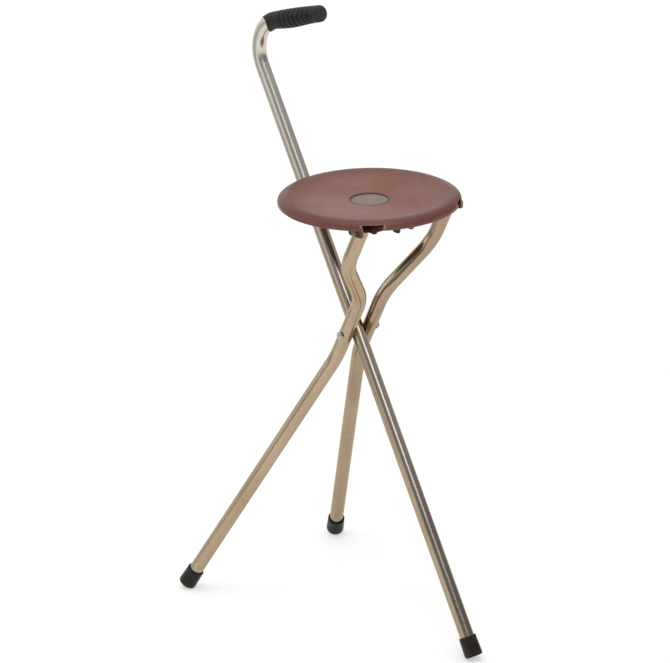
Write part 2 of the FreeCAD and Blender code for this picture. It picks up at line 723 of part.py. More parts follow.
def seat_hooks(body):
    """Two hooks under the back of the seat, which drop over the rest pin on each side of the stick."""
    half = "(RestPinDia / 2 + HookGap)"
    wide = f"({half} + HookWall)"
    rear = "(-(SeatRadius - SkirtWall - 0.5))"
    front = f"({rear} + HookRootDepth)"
    mirrored_pads(body, "Hook", [
        (rear, "RimHeight * 0.5"),
        (rear, "0"),
        hook_point(f"-{wide}", f"-{half} - HookWall * 0.5"),
        hook_point(f"-{wide}", "HookMouth"),
        hook_point(wide, "HookMouth"),
        (front, dish(front, "PanelThickness / 2")),
        ("-(CrownRadius + 4)", "RimHeight * 0.8"),
    ], [HOOK_INNER], "HookThickness")
    slot = new_sketch(body, "XZ_Plane", "SlotOutline")
    draw_outline(slot, [
        hook_point(f"-{half}", "HookMouth + 3"),
        hook_point(half, "HookMouth + 3"),
        hook_point(half, "0"),
        hook_point(f"-{half}", "0") + hook_point("0", f"-{half}"),
    ])
    cut(body, "Slot", slot)


def seat_ribs(body):
    """Thin radial ribs that stiffen the dished panel from below."""
    document.recompute()
    outline = new_sketch(body, "XZ_Plane", "RibOutline")
    inside = "PanelThickness / 2"
    middle = "((RibInner + CrownRadius) / 2)"
    draw_outline(outline, [
        ("RibInner", "RibRise"),
        ("SeatRadius - SkirtWall / 2", "RibRise"),
        ("SeatRadius - SkirtWall / 2", "RimHeight * 0.3"),
        ("SeatRadius - SkirtWall - 3.4", "RimHeight * 0.64"),
        ("CrownRadius", dish("CrownRadius", inside)),
        (middle, dish(middle, inside)),
        ("RibInner", dish("RibInner", inside)),
    ])
    rib = pad(body, "Rib", outline, "RibThickness", both_ways=True)
    ribs = body.newObject("PartDesign::PolarPattern", "Ribs")
    ribs.Originals = [rib]
    ribs.Axis = (base_feature(body, "Z_Axis"), [""])
    ribs.Angle = 360
    ribs.setExpression("Occurrences", formula("RibCount"))
    body.Tip = ribs
    document.recompute()


def seat_shell():
    """The moulded seat: a shallow dish with ears, a clip, hooks and ribs underneath."""
    body = new_body("seat_shell", frame_at(SEAT_BASE, Vector(0, 0, 1), Vector(1, 0, 0)))
    revolve(body, "Panel", seat_section())
    notch = new_sketch(body, "XY_Plane", "NotchOutline")
    for sign in ("-1", "1"):
        near = f"{sign} * (LegSpread - NotchWidth / 2)"
        far = f"{sign} * (LegSpread + NotchWidth / 2)"
        draw_outline(notch, [
            ("HingeForward", near),
            ("SeatRadius", near),
            ("SeatRadius", far),
            ("HingeForward", far),
        ])
    cut(body, "Notches", notch, "NotchHeight", reverse=True)
    seat_ears(body)
    seat_clip(body)
    seat_hooks(body)
    seat_ribs(body)
    recess = new_sketch(body, "XY_Plane", "RecessCircle", BADGE_FLOOR)
    draw_circle(recess, "0", "0", "BadgeRadius + BadgeGap")
    cut(body, "Recess", recess, "RimHeight", reverse=True)
    return body


def badge_parts():
    """The ring and the plain metal plate that fill the recess in the middle of the seat."""
    place = Placement(SEAT_BASE + Vector(0, 0, size(BADGE_FLOOR)), Rotation())
    top = f"({dish('BadgeRadius')} - {BADGE_FLOOR})"
    inner = "(BadgeRadius - BadgeRingWidth)"
    ring = turned_part("badge_ring", place, [
        (inner, "0"),
        ("BadgeRadius", "0"),
        ("BadgeRadius", f"{top} - 0.3"),
        (inner, f"{top} - 0.3", "BadgeRadius - BadgeRingWidth / 2", f"{top} + 0.2"),
    ])
    plate = turned_part("badge_plate", place, [
        ("0", "0"),
        (f"{inner} - BadgeGap", "0"),
        (f"{inner} - BadgeGap", "BadgeRecess * 0.7"),
        domed(f"({inner} - BadgeGap)", "BadgeRecess * 0.7", "BadgeRecess * 0.3"),
    ])
    return [ring, plate]


parts = [stick_tube(), hand_grip()]
for foot in ("stick", "left", "right"):
    name = "stick" if foot == "stick" else foot + "_leg"
    parts.append(rubber_foot(name + "_ferrule", foot_frame(foot)))
    parts.append(foot_washer(name + "_ferrule_washer", foot_frame(foot)))
parts += pivot_parts()
parts += rest_pin_parts()
for side in SIDES:
    parts.append(leg_tube(side))
    parts.append(leg_plug(side))
    parts += hinge_parts(side)
parts.append(seat_shell())
parts += badge_parts()
document.recompute()

for item in document.Objects:
    if "Invalid" in item.State or "Error" in item.State:
        raise RuntimeError(f"{item.Label} did not build: {item.State}")
for part in parts:
    if part.Shape.isNull() or not part.Shape.isValid():
        raise RuntimeError(f"{part.Label} has no valid shape")

os.makedirs("parts", exist_ok=True)
box = FreeCAD.BoundBox()
for part in parts:
    part.Shape.exportStep(f"parts/{part.Label}.step")
    box.add(part.Shape.optimalBoundingBox(False))
    print(f"{part.Label}: {len(part.Shape.Solids)} solid, {part.Shape.Volume:.0f} cubic mm")
print(f"{len(parts)} parts, box {box.XMin:.2f} {box.XMax:.2f} {box.YMin:.2f} {box.YMax:.2f}"
      f" {box.ZMin:.2f} {box.ZMax:.2f}")
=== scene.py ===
# %% [markdown]
# # A walking stick that unfolds into a seat
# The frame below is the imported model: tubes, bolts, feet and the moulded seat, each with its
# exact shape and place. This script gives every one of them its finish, builds the rubber pieces
# again with their moulded detail, and sets up floor, light and camera.

import math

import bmesh
import bpy
from mathutils import Matrix, Vector


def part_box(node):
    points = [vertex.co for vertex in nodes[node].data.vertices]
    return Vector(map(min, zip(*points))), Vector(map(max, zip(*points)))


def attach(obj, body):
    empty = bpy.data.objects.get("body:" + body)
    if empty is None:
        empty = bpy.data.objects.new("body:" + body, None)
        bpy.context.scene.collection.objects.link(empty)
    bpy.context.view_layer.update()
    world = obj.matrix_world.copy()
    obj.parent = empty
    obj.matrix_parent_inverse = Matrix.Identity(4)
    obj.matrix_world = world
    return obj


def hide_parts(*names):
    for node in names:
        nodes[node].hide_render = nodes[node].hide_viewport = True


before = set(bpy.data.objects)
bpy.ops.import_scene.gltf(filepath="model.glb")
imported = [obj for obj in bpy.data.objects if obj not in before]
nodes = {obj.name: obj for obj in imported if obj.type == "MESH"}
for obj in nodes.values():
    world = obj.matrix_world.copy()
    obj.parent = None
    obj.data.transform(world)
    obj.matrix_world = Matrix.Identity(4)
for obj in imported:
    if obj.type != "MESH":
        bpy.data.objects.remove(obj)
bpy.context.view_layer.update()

# %% [markdown]
# ## Where things are
# The stick leans back, the legs lean forward, and both turn about the pivot bolt. Their directions
# are worked out here once, because the grip, the feet and the grain of the metal all follow them.

# %% Directions and centres
MM = 0.001
STICK_LEAN = math.radians(29.4)
LEG_LEAN = math.radians(28.2)
LEG_SPLAY = math.radians(15.8)
TUBE_RADIUS = 9.0 * MM
UPRIGHT = Vector((0, 0, 1))


def middle(node):
    """The middle of a node's box."""
    low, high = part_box(node)
    return (low + high) / 2


def leg_up(side):
    """The direction up the lower part of a leg; side is -1 on the left and 1 on the right."""
    flat = math.cos(LEG_SPLAY)
    return Vector((math.sin(LEG_LEAN) * flat, -side * math.sin(LEG_SPLAY), math.cos(LEG_LEAN) * flat))


stick_up = Vector((-math.sin(STICK_LEAN), 0, math.cos(STICK_LEAN)))
stick_front = Vector((math.cos(STICK_LEAN), 0, math.sin(STICK_LEAN)))
pivot = middle("pivot_bolt")
pivot.y = 0
seat_middle = middle("badge_ring")
print("pivot bolt", [round(v, 4) for v in pivot], "seat centre", [round(v, 4) for v in seat_middle])

# %% [markdown]
# ## Node networks as Python
# A finish and a generated shape are both small networks of nodes. Written node by node they are hard
# to read, so one class stands for a socket's value: a sum or a product of such values adds the Math
# node that works it out. One method adds every other kind of node. Settings come first, because they
# decide which sockets a node has.

# %% A value in a network
class Value:
    """A socket's value. Sums, differences, products, shares, powers and sizes add Math nodes."""

    def __init__(self, network, socket):
        self.network = network
        self.socket = socket

    def __add__(self, other):
        return self.network.maths("ADD", self, other)

    def __radd__(self, other):
        return self.network.maths("ADD", other, self)

    def __sub__(self, other):
        return self.network.maths("SUBTRACT", self, other)

    def __rsub__(self, other):
        return self.network.maths("SUBTRACT", other, self)

    def __mul__(self, other):
        return self.network.maths("MULTIPLY", self, other)

    def __rmul__(self, other):
        return self.network.maths("MULTIPLY", other, self)

    def __truediv__(self, other):
        return self.network.maths("DIVIDE", self, other)

    def __rtruediv__(self, other):
        return self.network.maths("DIVIDE", other, self)

    def __pow__(self, other):
        return self.network.maths("POWER", self, other)

    def __rpow__(self, other):
        return self.network.maths("POWER", other, self)

    def __abs__(self):
        return self.network.maths("ABSOLUTE", self)

    def clipped(self, low=0.0, high=1.0):
        """The value kept between two limits."""
        return self.network.node("ShaderNodeClamp", {}, {"Value": self, "Min": low, "Max": high})[0]

    def eased(self, low, high):
        """0 below one limit, 1 above the other, and a smooth step between them."""
        return self.network.node("ShaderNodeMapRange", {"interpolation_type": "SMOOTHSTEP"}, {
            "Value": self, "From Min": low, "From Max": high})[0]

    def within(self, first, last, soft):
        """1 between two limits, and 0 where it is past either of them by more than a soft width."""
        return self.eased(first - soft, first) * (1 - self.eased(last, last + soft))


# %% A network of nodes
class Network:
    """A node tree whose nodes are added by one method."""

    def __init__(self, tree):
        self.tree = tree

    def node(self, kind, settings, sockets):
        """A node of a kind, with its settings, and then its sockets' values or links. Gives its outputs."""
        made = self.tree.nodes.new(kind)
        for name, value in settings.items():
            if name == "stops":
                self.fill_ramp(made.color_ramp, value)
            elif name == "bends":
                self.fill_curve(made.mapping, value)
            else:
                setattr(made, name, value)
        for name, value in sockets.items():
            self.plug(made.inputs[name], value)
        return [Value(self, out) for out in made.outputs if out.enabled]

    def plug(self, socket, value):
        """Gives a socket a value or a link."""
        if isinstance(value, Value):
            self.tree.links.new(value.socket, socket)
        elif socket.type == "RGBA":
            socket.default_value = (*value[:3], 1)
        else:
            socket.default_value = value

    def fill_ramp(self, ramp, stops):
        """Sets a colour ramp from (place, colour) pairs."""
        while len(ramp.elements) < len(stops):
            ramp.elements.new(0.5)
        for element, (place, colour) in zip(ramp.elements, stops):
            element.position = place
            element.color = (*colour, 1)

    def fill_curve(self, mapping, bends):
        """Sets a float curve from (place, height) pairs."""
        points = mapping.curves[0].points
        while len(points) < len(bends):
            points.new(0.5, 0.5)
        for point, place in zip(points, bends):
            point.location = place
        mapping.update()

    def source(self, kind, name):
        """The output of that name, from a node that has no settings and needs no values."""
        return next(value for value in self.node(kind, {}, {}) if value.socket.name == name)

    def maths(self, operation, first, second=0.0):
        """What a Math node makes of one or two values."""
        return self.node("ShaderNodeMath", {"operation": operation}, {0: first, 1: second})[0]

    def vectors(self, operation, first, second=(0, 0, 0)):
        """What a Vector Math node makes of one or two vectors."""
        return self.node("ShaderNodeVectorMath", {"operation": operation}, {0: first, 1: second})[0]

    def mix(self, share, first, second):
        """A mix of two colours, which are sockets 6 and 7 of a Mix node."""
        return self.node("ShaderNodeMix", {"data_type": "RGBA", "clamp_factor": True}, {
            0: share, 6: first, 7: second})[0]


# %% [markdown]
# A finish is a material with a Principled shader. It can be asked for points of the object, noises,
# ramps and bumps, and everything that varies ends in its colour, roughness or normal.

# %% A finish
class Finish(Network):
    """A material with one Principled shader."""

    def __init__(self, name, **fixed):
        self.material = bpy.data.materials.new(name)
        self.material.use_nodes = True
        super().__init__(self.material.node_tree)
        self.shader = self.tree.nodes["Principled BSDF"]
        self.set(**fixed)

    def set(self, **values):
        """Sets the Principled shader's sockets; an underscore stands for a space."""
        for name, value in values.items():
            self.plug(self.shader.inputs[name.replace("_", " ")], value)

    def place(self, centre=(0, 0, 0), turn=(0, 0, 0), scale=(1, 1, 1)):
        """Points of the object measured from a centre, turned and scaled."""
        moved = self.vectors("SUBTRACT", self.source("ShaderNodeTexCoord", "Object"), centre)
        return self.node("ShaderNodeMapping", {"vector_type": "POINT"}, {
            "Vector": moved, "Rotation": turn, "Scale": scale})[0]

    def along(self, centre, direction):
        """How far a point lies from a centre, measured along a direction."""
        return self.vectors("DOT_PRODUCT", self.place(centre=centre), direction)

    def noise(self, point, scale, detail, roughness):
        """A noise value near 0.5 at each point."""
        return self.node("ShaderNodeTexNoise", {}, {
            "Vector": point, "Scale": scale, "Detail": detail, "Roughness": roughness})[0]

    def ramp(self, value, stops):
        """A colour that follows a value."""
        return self.node("ShaderNodeValToRGB", {"stops": stops}, {"Fac": value})[0]

    def bump(self, height, strength, distance):
        """Feeds the shader's normal from a height."""
        self.set(Normal=self.node("ShaderNodeBump", {}, {
            "Height": height, "Strength": strength, "Distance": distance})[0])


# %% [markdown]
# ## Polished tube
# The tubes are aluminium, polished and dyed a pale bronze. Such a tube keeps faint lines from the die
# that it was drawn through. A noise stretched along the tube makes them, so each tube's finish is
# turned to its own lean. Small changes of gloss keep the long reflections from looking drawn, and
# hard use leaves dull scuffs just above the rubber feet. The dye is thinner on the upper stick, where
# the hand slides, so the metal turns more silver towards the bend. Metal mirrors white where the eye
# glances along it. The dye lies over that too, so the glance keeps a bronze tint.

# %% Tube finish
BRONZE = ((0.30, (0.310, 0.232, 0.146)), (0.50, (0.380, 0.296, 0.198)), (0.75, (0.455, 0.364, 0.256)))
SILVER = ((0.30, (0.580, 0.540, 0.470)), (0.80, (0.680, 0.645, 0.580)))
SCUFFED = (0.26, 0.205, 0.150)
BRONZE_GLANCE = (0.82, 0.70, 0.56)
SCUFFS_END = (20 * MM, 75 * MM)
DYE_WEARS_OFF = (340 * MM, 860 * MM)


def tube_finish(name, turn, foot, up, painted_light_scale, bare=0.0):
    """Polished pale bronze aluminium with draw lines. The scale paints light and shade into it, bare is how
    worn off.
    """
    finish = Finish(name, Metallic=1.0, Specular_Tint=BRONZE_GLANCE,
                    Coat_Weight=0.15, Coat_Roughness=0.06, Coat_IOR=1.5)
    lines = finish.noise(finish.place(turn=turn, scale=(700, 700, 6)), 1.0, 3.0, 0.6)
    clouds = finish.noise(finish.place(turn=turn, scale=(1, 1, 0.25)), 28.0, 3.0, 0.55)
    wear = finish.noise(finish.place(), 160.0, 4.0, 0.65)
    shade = (clouds * 0.5 + lines * 0.5).clipped()
    height = finish.along(foot, up)
    scuffs = (1 - height.eased(*SCUFFS_END)) * wear.eased(0.42, 0.62)
    bared = height.eased(*DYE_WEARS_OFF) * bare
    # Painted light and shade: the bronze is scaled paler on a lit leg and deeper on a shaded one.
    dyed = finish.ramp(shade, [(place, [part * painted_light_scale for part in colour]) for place, colour in BRONZE])
    clean = finish.mix(bared, dyed, finish.ramp(shade, SILVER))
    dullness = 0.115 + lines * 0.05 + (wear - 0.5) * 0.08 + scuffs * 0.16 + bared * 0.10
    finish.set(Base_Color=finish.mix(scuffs * 0.55, clean, SCUFFED))
    finish.set(Roughness=dullness.clipped(0.08, 0.5))
    finish.bump(lines + wear * 0.3, 0.10, 0.2 * MM)
    return finish.material


# %% [markdown]
# Each tube is told where the middle of its sole stands and which way it goes up from there. The near
# leg's bronze is painted a little paler than the stick's, as painted light where it is lit more, and the
# far leg's a little deeper, as painted shade from the seat.

# %% Where the feet stand
STICK_SOLE = Vector((205.52, 0, 4.65)) * MM
LEG_SOLE = Vector((-205.25, 127.45, 5.06)) * MM
MIRRORED = Vector((1, -1, 1))
FEET = {
    "stick": (STICK_SOLE, stick_up),
    "left_leg": (LEG_SOLE * MIRRORED, leg_up(-1)),
    "right_leg": (LEG_SOLE, leg_up(1)),
}
# The near leg's scale is painted light and the far leg's painted shade.
tube_metal = {
    "stick": tube_finish("stick_metal", (0, STICK_LEAN, 0), *FEET["stick"], painted_light_scale=1.0, bare=1.0),
    "left_leg": tube_finish("left_leg_metal", (LEG_SPLAY, -LEG_LEAN, 0), *FEET["left_leg"], painted_light_scale=1.10),
    "right_leg": tube_finish("right_leg_metal", (-LEG_SPLAY, -LEG_LEAN, 0), *FEET["right_leg"], painted_light_scale=0.93),
}
print("tube finishes:", *[metal.name for metal in tube_metal.values()])

# %% [markdown]
# ## Moulded seat
# The seat is one moulding of red brown plastic with dust on it. Its top is a fine leather-like grain,
# painted paler with dust and a painted sheen. The rim keeps its deeper colour and more of its gloss.
# The rim's edge is painted lighter as a highlight, and so are the edges of the two notches that the
# legs pass through. Ears, clip and the inside of the rim get a darker colour as painted shade. All of
# these are shares between 0 and 1, worked out from a point's distance to the seat's centre and its height.

# %% The seat's painted highlights and painted shade
SEAT_RADIUS = 112.5 * MM
RIM_HEIGHT = 10.2 * MM
NOTCH_HEIGHT = 7.0 * MM
NOTCH_MIDDLE = 69.7 * MM
NOTCH_HALF = 10.5 * MM
RIM_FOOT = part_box("seat_shell")[1].z - seat_middle.z - RIM_HEIGHT
NOTCH_TOP = RIM_FOOT + NOTCH_HEIGHT


def notch_edges(reach, ahead, aside, height, uneven):
    """1 on the edges of the notches at the front of the rim, where a highlight is painted, with an uneven
    outline.
    """
    off_edge = abs(abs(aside) - NOTCH_MIDDLE) - NOTCH_HALF
    sides = 1 - (abs(off_edge) + uneven * (1.2 * MM)).eased(0.3 * MM, 1.6 * MM)
    sides = sides * (1 - height.eased(NOTCH_TOP, NOTCH_TOP + 1.0 * MM))
    above = 1 - (abs(height - NOTCH_TOP) + uneven * (1.0 * MM)).eased(1.0 * MM, 2.4 * MM)
    above = above * (1 - off_edge.eased(0.0, 2.0 * MM))
    on_rim = reach.eased(SEAT_RADIUS - 3.0 * MM, SEAT_RADIUS - 2.0 * MM)
    return (sides + above).clipped() * on_rim * ahead.eased(60 * MM, 72 * MM)


def painted_shade_share(reach, height):
    """1 below the rim's foot and inside the rim, where shade is painted."""
    below = 1 - height.eased(RIM_FOOT - 1.0 * MM, RIM_FOOT + 0.5 * MM)
    inside = reach.eased(78 * MM, 84 * MM) * (1 - reach.eased(SEAT_RADIUS - 4.0 * MM, SEAT_RADIUS - 1.0 * MM))
    return (below + inside * (1 - height.eased(NOTCH_TOP - 2.0 * MM, NOTCH_TOP))).clipped()


print("rim from", round(RIM_FOOT / MM, 1), "mm, notches up to", round(NOTCH_TOP / MM, 1), "mm from the badge")

# %% [markdown]
# The share of pale on the dish, dust and painted sheen, comes from the distance to its centre, broken up
# by a wide noise. A wider one paints redder and paler patches as painted reflections, and two fine
# noises make the grain.

# %% Seat finish
DEEP_RED = ((0.3, (0.104, 0.022, 0.015)), (0.7, (0.134, 0.033, 0.022)))
# The pale dish colour is dust and a painted sheen.
PALE_DUST_AND_SHEEN = ((0.3, (0.222, 0.092, 0.064)), (0.7, (0.258, 0.112, 0.081)))
# Painted reflections: a paler and a redder patch colour stand in for the room mirrored in the seat.
PAINTED_PALE_REFLECTION = (0.285, 0.152, 0.120)
PAINTED_RED_REFLECTION = (0.205, 0.070, 0.047)
# Painted shade under the rim, on ears and clip.
PAINTED_SHADE_COLOUR = (0.070, 0.017, 0.013)
# Painted highlight along the rim's edge.
PAINTED_RIM_HIGHLIGHT = (0.300, 0.165, 0.140)
# Painted highlight on the notches' edges.
PAINTED_NOTCH_HIGHLIGHT = (0.420, 0.270, 0.215)


def seat_finish():
    """Red brown plastic: dust and painted sheen on the dish, painted reflections, a deep rim, painted shade
    under.
    """
    finish = Finish("seat_plastic", Specular_IOR_Level=0.26)
    point = finish.place(centre=seat_middle)
    reach = finish.vectors("LENGTH", finish.vectors("MULTIPLY", point, (1, 1, 0)))
    ahead, aside, height = finish.node("ShaderNodeSeparateXYZ", {}, {"Vector": point})
    clouds = finish.noise(point, 17.0, 4.0, 0.6)
    # Painted reflections: this wide noise places the paler and redder mirrored patches.
    reflection_patches = finish.noise(finish.place(centre=seat_middle, scale=(1.0, 1.0, 0.3)), 8.0, 3.0, 0.6)
    grain = finish.noise(point, 900.0, 3.0, 0.6)
    flecks = finish.noise(point, 260.0, 2.0, 0.5)
    uneven = flecks - 0.5
    # Painted sheen: the dish is painted paler towards its middle, partly dust and partly a painted sheen.
    top = 1 - (reach + (clouds - 0.5) * (34 * MM)).eased(62 * MM, 106 * MM)
    pale_dust_and_reflection = finish.mix(reflection_patches.eased(0.48, 0.64) * 0.75, finish.ramp(flecks, PALE_DUST_AND_SHEEN), PAINTED_PALE_REFLECTION)
    with_painted_reflections = finish.mix((1 - reflection_patches.eased(0.36, 0.50)) * 0.70, pale_dust_and_reflection, PAINTED_RED_REFLECTION)
    body = finish.mix(0.18 + top * 0.82, finish.ramp(flecks, DEEP_RED), with_painted_reflections)
    # Painted shade: a darker colour below the rim's foot and inside the rim.
    shaded = finish.mix(painted_shade_share(reach, height) * 0.8, body, PAINTED_SHADE_COLOUR)
    # Painted highlight: the rim's outermost edge is painted paler.
    crest = (reach + uneven * (2.0 * MM)).eased(SEAT_RADIUS - 1.1 * MM, SEAT_RADIUS - 0.2 * MM)
    lightened = finish.mix(crest * 0.25, shaded, PAINTED_RIM_HIGHLIGHT)
    # Painted highlight: the notches' edges are painted pale.
    notches = notch_edges(reach, ahead, aside, height, uneven)
    finish.set(Base_Color=finish.mix(notches * 0.75, lightened, PAINTED_NOTCH_HIGHLIGHT))
    finish.set(Roughness=(0.35 + top * 0.17 + (grain - 0.5) * 0.12).clipped(0.26, 0.8))
    finish.bump(grain * 0.7 + flecks * 0.5, 0.30, 0.3 * MM)
    return finish.material


seat_plastic = seat_finish()
print("seat finish:", len(seat_plastic.node_tree.nodes), "nodes")

# %% [markdown]
# ## Black rubber
# Rubber is nearly black and dull, with dust in its grain. The grip is rubbed grey where the hand
# presses its end. The feet have taken up brown dirt, most of all at the sole.

# %% Rubber finish
CLEAN_RUBBER = (0.0050, 0.0045, 0.0042)
RUBBED_END = 14 * MM


def rubber_finish(name, dust, rub, gloss, end, outward):
    """Black rubber with a fine grain and dust, rubbed paler at the end that meets hand or floor."""
    finish = Finish(name, Specular_IOR_Level=gloss)
    point = finish.place()
    grain = finish.noise(point, 1400.0, 3.0, 0.65)
    smears = finish.noise(point, 60.0, 4.0, 0.6)
    clean = finish.ramp((smears * 0.7 + grain * 0.3).clipped(), [(0.35, CLEAN_RUBBER), (0.75, dust)])
    lightened = finish.along(end, outward).eased(-RUBBED_END, 0.0) * (0.45 + smears)
    finish.set(Base_Color=finish.mix(lightened.clipped(), clean, rub))
    finish.set(Roughness=(0.34 + smears * 0.22 + lightened * 0.1).clipped(0.3, 0.9))
    finish.bump(grain, 0.30, 0.2 * MM)
    return finish.material


grip_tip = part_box("hand_grip")[1]
grip_rubber = rubber_finish("grip_rubber", dust=(0.0120, 0.0112, 0.0106), rub=(0.040, 0.038, 0.036),
                            gloss=0.18, end=(grip_tip.x, 0, 0), outward=(1, 0, 0))
foot_rubber = rubber_finish("foot_rubber", dust=(0.0300, 0.0190, 0.0110), rub=(0.040, 0.027, 0.017),
                            gloss=0.24, end=(0, 0, 0), outward=-UPRIGHT)
print("rubber finishes:", grip_rubber.name, foot_rubber.name)

# %% [markdown]
# ## Steel and plugs
# The fasteners are zinc plated steel with small scratches, and the hinge pins between the ears are dark
# and brownish. The plugs in the legs' tops are red brown plastic painted darker than the seat, as
# painted shade inside the notches.

# %% Steel and plug finishes
def steel_finish(name, dark, light, dullness):
    """Plated steel with small scratches, between a dark and a light colour."""
    finish = Finish(name, Metallic=1.0)
    point = finish.place()
    scratches = finish.noise(point, 900.0, 3.0, 0.7)
    clouds = finish.noise(point, 120.0, 2.0, 0.5)
    finish.set(Base_Color=finish.ramp(clouds, [(0.3, dark), (0.7, light)]))
    finish.set(Roughness=(dullness + scratches * 0.22).clipped(0.1, 0.7))
    finish.bump(scratches, 0.12, 0.1 * MM)
    return finish.material


def plug_finish():
    """Red brown plastic painted dark as shade, with a fine grain."""
    finish = Finish("plug_plastic", Specular_IOR_Level=0.3)
    grain = finish.noise(finish.place(), 1100.0, 2.0, 0.6)
    # Painted shade: the plugs' colour is a shaded red brown.
    finish.set(Base_Color=finish.ramp(grain, [(0.3, (0.050, 0.016, 0.014)), (0.7, (0.075, 0.026, 0.022))]))
    finish.set(Roughness=(0.5 + grain * 0.2).clipped(0.3, 0.9))
    finish.bump(grain, 0.25, 0.2 * MM)
    return finish.material


fastener_steel = steel_finish("fastener_steel", dark=(0.34, 0.325, 0.295), light=(0.47, 0.455, 0.42),
                              dullness=0.24)
hinge_steel = steel_finish("hinge_steel", dark=(0.130, 0.098, 0.085), light=(0.215, 0.170, 0.150),
                           dullness=0.34)
plug_plastic = plug_finish()
print("steel and plug finishes:", fastener_steel.name, hinge_steel.name, plug_plastic.name)

# %% [markdown]
# ## Badge
# The badge is a thin satin plate in a dark ring, and is left plain. It was turned on a lathe, which
# leaves rings too fine to see one by one. A sine of the distance to its centre makes them.

# %% Badge finishes
LATHE_RINGS = 9000.0
PLATE_METAL = ((0.35, (0.165, 0.122, 0.083)), (0.60, (0.225, 0.170, 0.120)), (0.80, (0.290, 0.230, 0.170)))


def badge_plate_finish():
    """A satin plate with fine rings about its centre."""
    finish = Finish("badge_metal", Metallic=0.55, Specular_IOR_Level=0.4)
    point = finish.place(centre=seat_middle)
    clouds = finish.noise(point, 130.0, 3.0, 0.6)
    turned = finish.maths("SINE", finish.vectors("LENGTH", point) * LATHE_RINGS)
    finish.set(Base_Color=finish.ramp((clouds + turned * 0.06).clipped(), PLATE_METAL))
    finish.set(Roughness=(0.36 + (clouds - 0.5) * 0.25).clipped(0.2, 0.7))
    finish.bump(turned, 0.10, 0.1 * MM)
    return finish.material


def badge_ring_finish():
    """The dark satin ring round the plate."""
    finish = Finish("badge_trim", Metallic=0.3)
    clouds = finish.noise(finish.place(), 220.0, 3.0, 0.6)
    finish.set(Base_Color=finish.ramp(clouds, [(0.3, (0.022, 0.021, 0.016)), (0.7, (0.048, 0.045, 0.036))]))
    finish.set(Roughness=(0.34 + clouds * 0.2).clipped(0.2, 0.7))
    finish.bump(clouds, 0.1, 0.2 * MM)
    return finish.material


badge_metal = badge_plate_finish()
badge_trim = badge_ring_finish()
print("badge finishes:", badge_metal.name, badge_trim.name)

# %% [markdown]
# ## Finishes on the frame's own pieces
# Tubes, seat, pins and washers already have their exact shapes, so they only get their finishes. The
# part of a node's name that says what it is picks the finish.

# %% Dress the nodes
def finish_of(name):
    """The finish for a node of the frame."""
    if name.endswith("_tube"):
        return tube_metal[name.removesuffix("_tube")]
    if name == "seat_shell":
        return seat_plastic
    if name == "hand_grip":
        return grip_rubber
    if name.endswith("ferrule"):
        return foot_rubber
    if name.endswith("plug"):
        return plug_plastic
    if "hinge" in name:
        return hinge_steel
    return {"badge_plate": badge_metal, "badge_ring": badge_trim}.get(name, fastener_steel)


for name, node in nodes.items():
    node.data.materials.clear()
    node.data.materials.append(finish_of(name))
print("dressed", len(nodes), "nodes")

# %% [markdown]
# ## Hand grip
# The grip is one rubber moulding pushed over the end of the stick. Its sleeve follows the end of the
# bend, the handle swells where the palm rests, and moulded grooves keep the hand from sliding. A tube
# whose radius changes along a path describes all of that, so Geometry Nodes make it: the path carries a
# circle whose size is worked out from how far along the path it is.

# %% The grip's path
BEND_START = 350.6 * MM
BEND_RADIUS = 45.0 * MM
BEND_ANGLE = math.radians(103.7)
SLEEVE_TURN = math.radians(80.0)
HANDLE_LENGTH = 94.0 * MM
DOME_HEIGHT = 5.8 * MM
LIP_LENGTH = 0.85 * MM
LIP_STEPS = (0.0, 0.08 * MM, 0.25 * MM, 0.5 * MM, LIP_LENGTH)
BODY_START = 1.2 * MM
BODY_STEPS = 260
DOME_STEPS = 16
bend_centre = pivot + stick_up * BEND_START + stick_front * BEND_RADIUS


def bend_point(turn):
    """The point on the stick's axis where the bend has turned by an angle."""
    return bend_centre + (stick_up * math.sin(turn) - stick_front * math.cos(turn)) * BEND_RADIUS


handle_way = stick_up * math.cos(BEND_ANGLE) + stick_front * math.sin(BEND_ANGLE)
bend_end = bend_point(BEND_ANGLE)
sleeve_length = BEND_RADIUS * (BEND_ANGLE - SLEEVE_TURN)
grip_length = sleeve_length + HANDLE_LENGTH


def grip_point(reach):
    """The point on the grip's axis at a distance from the sleeve's mouth."""
    if reach > sleeve_length:
        return bend_end + handle_way * (reach - sleeve_length)
    return bend_point(SLEEVE_TURN + reach / BEND_RADIUS)


def grip_path():
    """A line along the grip's axis, with closer points at the mouth and in the dome."""
    last = grip_length - DOME_HEIGHT
    body = [BODY_START + (last - BODY_START) * i / BODY_STEPS for i in range(BODY_STEPS + 1)]
    quarter = [math.radians(90 * i / DOME_STEPS) for i in range(1, DOME_STEPS + 1)]
    dome = [last + DOME_HEIGHT * math.sin(turn) for turn in quarter]
    points = [grip_point(reach) for reach in [*LIP_STEPS, *body, *dome]]
    line = bpy.data.meshes.new("grip_path")
    line.from_pydata(points, [(i, i + 1) for i in range(len(points) - 1)], [])
    return line


print("grip from mouth to end", round(grip_length / MM, 1), "mm")

# %% [markdown]
# The tree below is a network like a finish. Its named inputs are the grip's sizes. It ends by making
# instances real and giving the finish, and the result is kept as a plain mesh.

